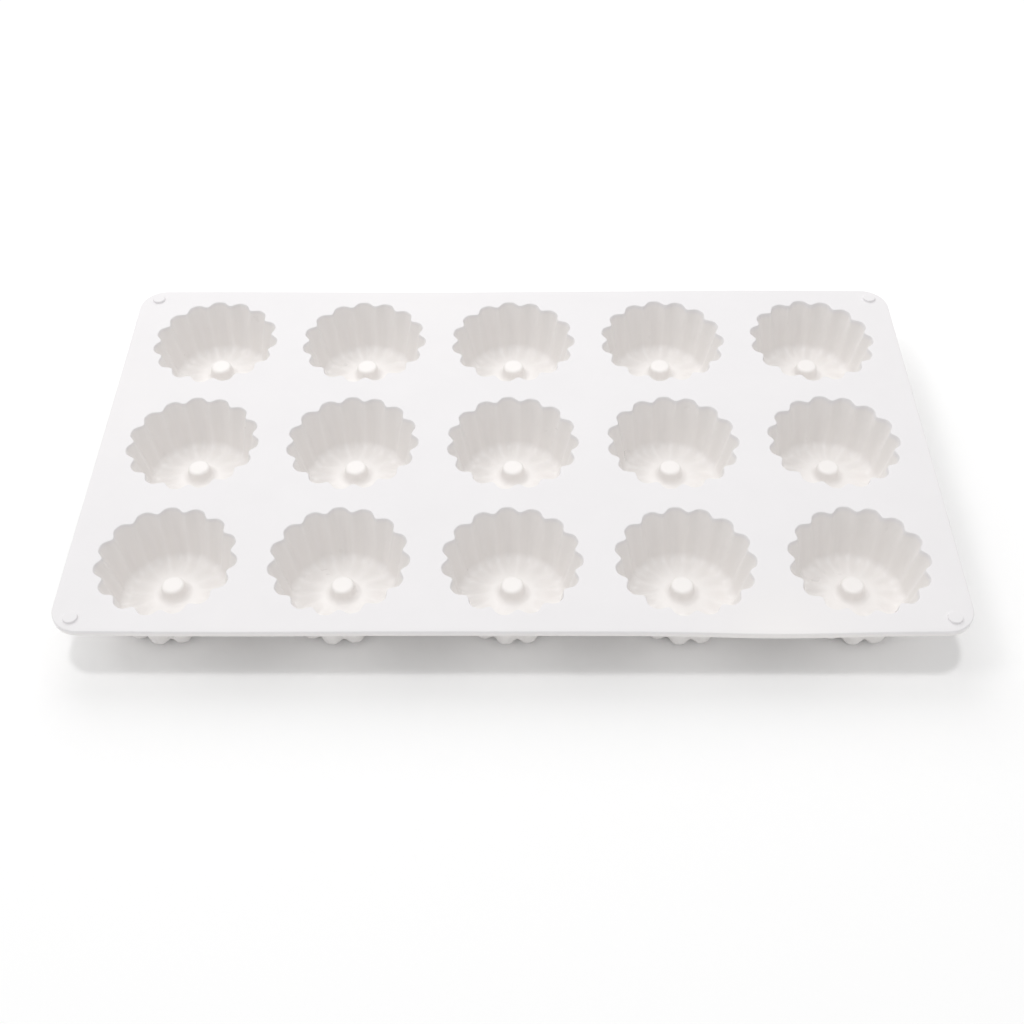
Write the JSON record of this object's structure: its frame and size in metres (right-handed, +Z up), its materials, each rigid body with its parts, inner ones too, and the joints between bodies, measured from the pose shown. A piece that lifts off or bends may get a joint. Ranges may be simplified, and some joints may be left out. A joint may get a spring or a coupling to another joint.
{
  "type": "silicone cake mould",
  "caption": "Flexible silicone baking mould: a thin sheet with a grid of fluted daisy-shaped cups, a small peg in each cup, and a stacking pip at each corner.",
  "frame": {"origin": "on the surface that the cups stand on, under the middle of the sheet", "axes": "+X along the sheet's long side, +Y towards its rear edge, +Z up out of the cups' mouths"},
  "size_m": [0.3, 0.175, 0.0232],
  "materials": {
    "silicone": "satin"
  },
  "bodies": {
    "column_1": {"sheet_panel_1": "silicone", "cup_r1_c1": "silicone", "cup_r2_c1": "silicone", "cup_r3_c1": "silicone", "peg_r1_c1": "silicone", "peg_r2_c1": "silicone", "peg_r3_c1": "silicone", "corner_pip_front_left": "silicone", "corner_pip_rear_left": "silicone"},
    "column_2": {"sheet_panel_2": "silicone", "cup_r1_c2": "silicone", "cup_r2_c2": "silicone", "cup_r3_c2": "silicone", "peg_r1_c2": "silicone", "peg_r2_c2": "silicone", "peg_r3_c2": "silicone"},
    "column_3": {"sheet_panel_3": "silicone", "cup_r1_c3": "silicone", "cup_r2_c3": "silicone", "cup_r3_c3": "silicone", "peg_r1_c3": "silicone", "peg_r2_c3": "silicone", "peg_r3_c3": "silicone"},
    "column_4": {"sheet_panel_4": "silicone", "cup_r1_c4": "silicone", "cup_r2_c4": "silicone", "cup_r3_c4": "silicone", "peg_r1_c4": "silicone", "peg_r2_c4": "silicone", "peg_r3_c4": "silicone"},
    "column_5": {"sheet_panel_5": "silicone", "cup_r1_c5": "silicone", "cup_r2_c5": "silicone", "cup_r3_c5": "silicone", "peg_r1_c5": "silicone", "peg_r2_c5": "silicone", "peg_r3_c5": "silicone", "corner_pip_front_right": "silicone", "corner_pip_rear_right": "silicone"}
  },
  "joints": [
    {"name": "web_bend_2_3", "type": "hinge", "parent": "column_3", "child": "column_2", "pos_m": [-0.02913, 0, 0.02105], "axis": [0, 1, 0], "range_deg": [-30, 30], "stiffness_Nm_per_rad": 0.057},
    {"name": "web_bend_1_2", "type": "hinge", "parent": "column_2", "child": "column_1", "pos_m": [-0.08737, 0, 0.02105], "axis": [0, 1, 0], "range_deg": [-30, 30], "stiffness_Nm_per_rad": 0.057},
    {"name": "web_bend_3_4", "type": "hinge", "parent": "column_3", "child": "column_4", "pos_m": [0.02913, 0, 0.02105], "axis": [0, -1, 0], "range_deg": [-30, 30], "stiffness_Nm_per_rad": 0.057},
    {"name": "web_bend_4_5", "type": "hinge", "parent": "column_4", "child": "column_5", "pos_m": [0.08737, 0, 0.02105], "axis": [0, -1, 0], "range_deg": [-30, 30], "stiffness_Nm_per_rad": 0.057}
  ]
}
